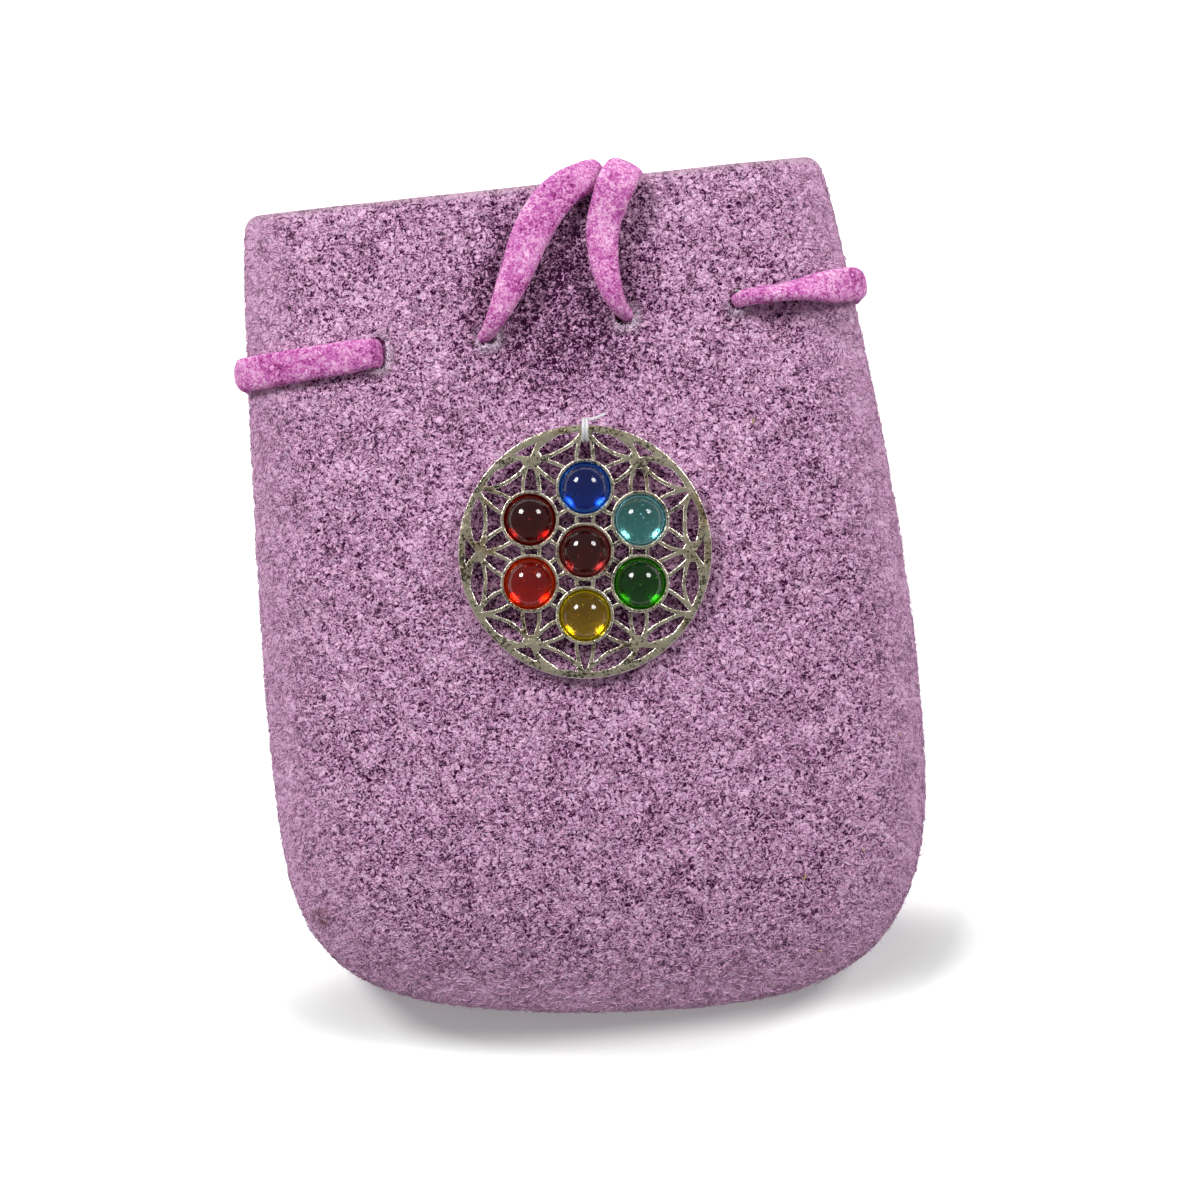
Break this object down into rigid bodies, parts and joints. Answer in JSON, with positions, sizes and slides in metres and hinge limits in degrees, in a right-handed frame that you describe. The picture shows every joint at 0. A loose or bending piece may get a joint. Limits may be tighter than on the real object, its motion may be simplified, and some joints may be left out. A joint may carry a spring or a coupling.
{
  "type": "drawstring medicine pouch",
  "caption": "Small suede drawstring pouch with a flat lace through slits below its mouth and a round openwork pendant of glass cabochons on the front.",
  "frame": {"origin": "under the middle of the pouch, on the surface it lies on, without the free lace tails", "axes": "+Z out of the front, +Y towards the mouth, +X to the right seen from the front"},
  "size_m": [0.079, 0.1036, 0.0182],
  "materials": {
    "suede": "lilac suede, short brushed nap",
    "lace_suede": "orchid suede lace",
    "silver": "antiqued silver-tone casting, dark in its recesses",
    "nylon": "clear nylon thread",
    "garnet_glass": "dark domed glass over the metal cup",
    "blue_glass": "dark domed glass over the metal cup",
    "aqua_glass": "dark domed glass over the metal cup",
    "green_glass": "dark domed glass over the metal cup",
    "yellow_glass": "dark domed glass over the metal cup",
    "orange_glass": "dark domed glass over the metal cup",
    "red_glass": "dark domed glass over the metal cup"
  },
  "bodies": {
    "pouch": {"front_panel": "suede", "back_panel": "suede", "drawstring_lace": "lace_suede", "lace_tail_left": "lace_suede", "lace_tail_right": "lace_suede"},
    "loop": {"hanging_loop": "nylon"},
    "pendant": {"pendant_casting": "silver", "cabochon_garnet": "garnet_glass", "cabochon_blue": "blue_glass", "cabochon_aqua": "aqua_glass", "cabochon_green": "green_glass", "cabochon_yellow": "yellow_glass", "cabochon_orange": "orange_glass", "cabochon_red": "red_glass"}
  },
  "joints": [
    {"name": "pendant_swing", "type": "hinge", "parent": "pouch", "child": "loop", "pos_m": [0.0025, 0.02016, 0.0149], "axis": [0, 0, 1], "range_deg": [-20, 20]},
    {"name": "pendant_lift", "type": "hinge", "parent": "loop", "child": "pendant", "pos_m": [0.0025, 0.02016, 0.0149], "axis": [-0.9943, 0.1063, 0], "range_deg": [0, 150]}
  ]
}
